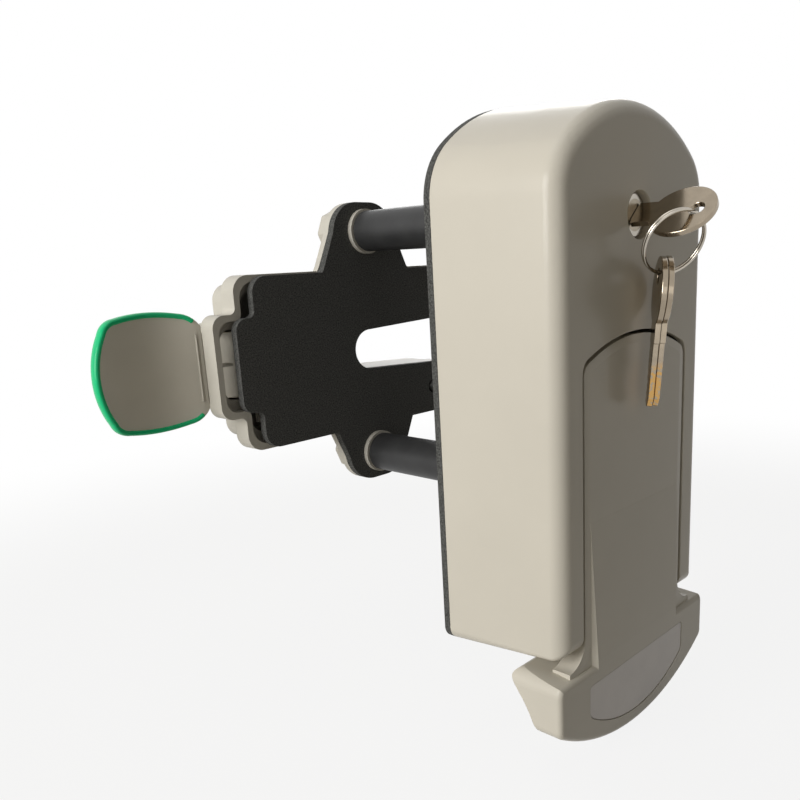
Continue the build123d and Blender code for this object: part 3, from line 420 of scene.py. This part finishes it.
def split_ring(name, material):
    """Circle run twice: along its axis a smooth cubic steps from one coil to the other. Its
    plane and centre come from the node's points: mean and main directions."""
    crossing, open_end, steps = 0.7, 0.25, 193
    source = nodes[name].data
    points = np.empty(len(source.vertices) * 3)
    source.vertices.foreach_get("co", points)
    points = points.reshape(-1, 3)
    middle = points.mean(axis=0)
    across, along, normal = np.linalg.svd(points - middle, full_matrices=False)[2]
    reach = np.linalg.norm((points - middle) @ np.stack([across, along], axis=1), axis=1)
    bend, wire = (reach.max() + reach.min()) / 2, (reach.max() - reach.min()) / 4
    turn = np.linspace(0.0, 4 * math.pi - open_end, steps)
    step = np.clip((turn - 2 * math.pi + crossing / 2) / crossing, 0.0, 1.0)
    lift = wire * (2 * step * step * (3 - 2 * step) - 1)
    out = np.outer(np.cos(turn), across) + np.outer(np.sin(turn), along)
    level = np.broadcast_to(normal, out.shape)
    path = middle + bend * out + lift[:, None] * level
    carried(name, path, out, level, wire, wire, material)


steel = surface(
    "ring_steel",
    (0.46, 0.42, 0.36),
    rough=0.16,
    metal=1.0,
    mottle=0.08,
    mottle_scale=260,
)
split_ring("key_ring", steel)

# Sleeves: extruded black tube that lines the bolt holes through the insulation.
# The collar on the room side is moulded on; the bolts run inside.
tube = surface(
    "tube_plastic",
    (0.026, 0.026, 0.026),
    rough=0.45,
    mottle=0.15,
    mottle_scale=120,
    peel=0.00004,
    peel_scale=700,
    gloss=0.35,
)
finish("sleeve_top", tube, radius=0.0004)
finish("sleeve_bottom", tube, radius=0.0004)

# Inner seal: the same black foam, die-cut with two ears for the sleeves and with the slot of
# the inner half. It is pressed between the shell and the room side of the door.
dress("inner_gasket", foam)

# Inner shell: light grey moulding, matt spark-eroded texture, hollow behind the foam.
# Eight-sided caps of the same plastic cover the bolt ends on its ears.
shell = surface(
    "shell_plastic",
    (0.56, 0.53, 0.46),
    rough=0.48,
    mottle=0.03,
    mottle_scale=60,
    peel=0.00005,
    peel_scale=1300,
    gloss=0.35,
)
dress("inner_shell", shell)
finish("bolt_caps", shell, radius=0.0006, steps=3)

# Paddle: smooth grey moulding, dished for the palm, on a pin in the shell.
# A luminous green trim is clipped round three of its edges.
paddle = surface(
    "paddle_plastic",
    (0.66, 0.62, 0.53),
    rough=0.32,
    mottle=0.02,
    mottle_scale=60,
    peel=0.00003,
    gloss=0.4,
)
finish("release_paddle", paddle, radius=0.0005, steps=3)
luminous = surface(
    "luminous",
    (0.004, 0.52, 0.195),
    rough=0.32,
    mottle=0.05,
    mottle_scale=90,
    peel=0.00001,
    gloss=0.25,
)


def arc(start, through, end, count=16):
    """Points of the circle through three points; its centre solves two equal-distance equations."""
    start, through, end = (np.array(point, dtype=float) for point in (start, through, end))
    sides = 2 * np.stack([through - start, end - start])
    centre = np.linalg.solve(sides, [through @ through - start @ start, end @ end - start @ start])
    bearing = [math.atan2(*(point - centre)[::-1]) for point in (start, through, end)]
    first, middle, last = np.unwrap(bearing)
    turn = np.linspace(first, last, count, endpoint=False)
    return centre + np.linalg.norm(start - centre) * np.stack([np.cos(turn), np.sin(turn)], axis=1)


trim_half_w, trim_half_t = 0.00139, 0.0027
outer_x, inner_x, edge_z = -0.1396, -0.0890, 0.0258
dish_x, dish_y, dish_r = -0.113, 0.124, 0.080
paddle_drop = 0.0022
corner_x, corner_z = outer_x + 0.0054, 0.019
hinge_x, hinge_z = -0.095, 0.0212
side_steps = 40
# Upper half of the outline from the hinge to the outer corner: each arc takes three points.
upper = [
    (inner_x, edge_z - 0.008),
    (inner_x - 0.0029, edge_z - 0.0039),
    (inner_x - 0.0085, edge_z - 0.0015),
    (dish_x, edge_z),
    (outer_x + 0.0125, edge_z - 0.0015),
    (outer_x + 0.0076, 0.02224),
    (corner_x, corner_z),
]
lower = [(x, -z) for x, z in upper[::-1]]
runs = [arc(*upper[i : i + 3]) for i in (0, 2, 4)]
runs += [arc(upper[-1], (outer_x, 0.0), lower[0], side_steps)]
runs += [arc(*lower[i : i + 3]) for i in (0, 2, 4)]
rim = np.concatenate(runs)
# The outline stays open at the hinge, and lies on the dish, a circle in X of radius dish_r.
rim = rim[(np.abs(rim[:, 1]) > hinge_z) | (rim[:, 0] < hinge_x)]
fall = (rim[:, 0] - dish_x) / dish_r
depth = dish_y - dish_r + dish_r * np.sqrt(1 - fall**2)
path = np.stack([rim[:, 0], depth, rim[:, 1] - paddle_drop], axis=1)
ahead = np.gradient(path[:, ::2], axis=0)
ahead /= np.linalg.norm(ahead, axis=1)[:, None]
aside = np.stack([ahead[:, 1], np.zeros(len(path)), -ahead[:, 0]], axis=1)
deep = np.broadcast_to([0.0, 1.0, 0.0], aside.shape)
carried("paddle_edging", path, aside, deep, trim_half_w, trim_half_t, luminous, power=0.75)

# Studio: white surroundings and four soft lights: a large one from the left, one from above,
# one from behind and a weak one on the front. The pale floor keeps the object's shadow, and
# near the object its white glow is faded, which paints a slight shade round it.


def seen_by_eye_or_gloss(tree):
    """One for rays from the camera, from glossy reflections and through glass, else nought."""
    path = tree.nodes.new("ShaderNodeLightPath")
    most = path.outputs["Is Camera Ray"]
    for kind in ("Is Glossy Ray", "Is Transmission Ray"):
        either = tree.nodes.new("ShaderNodeMath")
        either.operation = "MAXIMUM"
        tree.links.new(most, either.inputs[0])
        tree.links.new(path.outputs[kind], either.inputs[1])
        most = either.outputs["Value"]
    return most


world = bpy.data.worlds.new("studio")
bpy.context.scene.world = world
world.use_nodes = True
tree = world.node_tree
tree.nodes.clear()
out = tree.nodes.new("ShaderNodeOutputWorld")
seen = tree.nodes.new("ShaderNodeBackground")
seen.inputs["Color"].default_value = (1, 1, 1, 1)
lit = tree.nodes.new("ShaderNodeBackground")
lit.inputs["Color"].default_value = (1.0, 0.93, 0.80, 1)
lit.inputs["Strength"].default_value = 0.09
mix = tree.nodes.new("ShaderNodeMixShader")
tree.links.new(seen_by_eye_or_gloss(tree), mix.inputs["Fac"])
tree.links.new(lit.outputs[0], mix.inputs[1])
tree.links.new(seen.outputs[0], mix.inputs[2])
tree.links.new(mix.outputs[0], out.inputs["Surface"])


def area_light(name, where, toward, size, power):
    """Square soft light, its side in metres and its power in watts, aimed at a point."""
    data = bpy.data.lights.new(name, "AREA")
    data.shape = "SQUARE"
    data.size = size
    data.energy = power
    light = bpy.data.objects.new(name, data)
    bpy.context.scene.collection.objects.link(light)
    light.location = where
    away = np.subtract(toward, where)
    tilt = math.atan2(away[2], math.hypot(away[0], away[1]))
    light.rotation_euler = (math.pi / 2 + tilt, 0, math.atan2(-away[0], away[1]))


middle_of_lock, low_front = (0, 0.02, 0), (0, 0, -0.03)
area_light("key", (-1.5, 0.22, 0.42), middle_of_lock, size=0.8, power=22.0)
area_light("top", (-0.25, 0.1, 1.4), middle_of_lock, size=0.9, power=3.5)
area_light("back", (1.3, 1.1, 0.6), middle_of_lock, size=0.9, power=9.0)
area_light("fill", (-0.9, -1.4, 0.1), low_front, size=0.7, power=0.9)

floor_z, floor_half = -0.1615, 4
corner_signs = ((-1, -1), (1, -1), (1, 1), (-1, 1))
floor_mesh = bpy.data.meshes.new("floor")
floor_mesh.from_pydata(
    [(x * floor_half, y * floor_half, floor_z) for x, y in corner_signs], [], [(0, 1, 2, 3)]
)
floor = bpy.data.objects.new("floor", floor_mesh)
bpy.context.scene.collection.objects.link(floor)
pale = bpy.data.materials.new("pale_floor")
pale.use_nodes = True
tree = pale.node_tree
shader = tree.nodes["Principled BSDF"]
shader.inputs["Base Color"].default_value = (0.45, 0.43, 0.39, 1)
shader.inputs["Roughness"].default_value = 0.9
shader.inputs["Specular IOR Level"].default_value = 0.0
glow = tree.nodes.new("ShaderNodeEmission")
glow.inputs["Color"].default_value = (1, 1, 1, 1)
place = tree.nodes.new("ShaderNodeTexCoord")
reach = tree.nodes.new("ShaderNodeVectorMath")
reach.operation = "LENGTH"
# Painted shade: the white glow fades from full far out to 0.87 within 0.35 m of the middle. The
# floor is painted darker round the object, and its real shadow shows there as well.
glow_fade_painted_shade = tree.nodes.new("ShaderNodeMapRange")
glow_fade_painted_shade.interpolation_type = "SMOOTHSTEP"
glow_fade_painted_shade.inputs["From Min"].default_value = 0.35
glow_fade_painted_shade.inputs["From Max"].default_value = 0.75
glow_fade_painted_shade.inputs["To Min"].default_value = 0.87
glow_fade_painted_shade.inputs["To Max"].default_value = 1.0
white = tree.nodes.new("ShaderNodeMath")
white.operation = "MULTIPLY"
mix = tree.nodes.new("ShaderNodeMixShader")
tree.links.new(place.outputs["Object"], reach.inputs[0])
tree.links.new(reach.outputs["Value"], glow_fade_painted_shade.inputs["Value"])
tree.links.new(glow_fade_painted_shade.outputs["Result"], white.inputs[0])
tree.links.new(seen_by_eye_or_gloss(tree), white.inputs[1])
tree.links.new(white.outputs["Value"], mix.inputs["Fac"])
tree.links.new(shader.outputs[0], mix.inputs[1])
tree.links.new(glow.outputs[0], mix.inputs[2])
tree.links.new(mix.outputs[0], tree.nodes["Material Output"].inputs["Surface"])
floor_mesh.materials.append(pale)

# Camera: the angle, distance and lens of the photo, with the picture shifted aside and up.
# Focal length and shift are in pixels of the 800 pixel frame.
photo_side, sensor_width = 800, 36
focal, shift_right, shift_up = 819.27, -59.1, 66.6
azimuth, elevation, roll = math.radians(-47.392), math.radians(14.404), math.radians(-2.527)
lens = bpy.data.cameras.new("camera")
camera = bpy.data.objects.new("camera", lens)
bpy.context.scene.collection.objects.link(camera)
bpy.context.scene.camera = camera
lens.lens = focal / photo_side * sensor_width
lens.shift_x = shift_right / photo_side
lens.shift_y = shift_up / photo_side
lens.clip_start = 0.02
camera.location = (-0.29194, -0.22707, 0.04328)
flat = math.cos(elevation)
back = np.array([math.sin(azimuth) * flat, -math.cos(azimuth) * flat, math.sin(elevation)])
right = np.array([math.cos(azimuth), math.sin(azimuth), 0.0])
up = np.cross(back, right)
cos_roll, sin_roll = math.cos(roll), math.sin(roll)
right, up = right * cos_roll + up * sin_roll, up * cos_roll - right * sin_roll
camera.rotation_mode = "QUATERNION"
camera.rotation_quaternion = Matrix([[right[i], up[i], back[i]] for i in range(3)]).to_quaternion()
bpy.context.scene.view_settings.view_transform = "Standard"
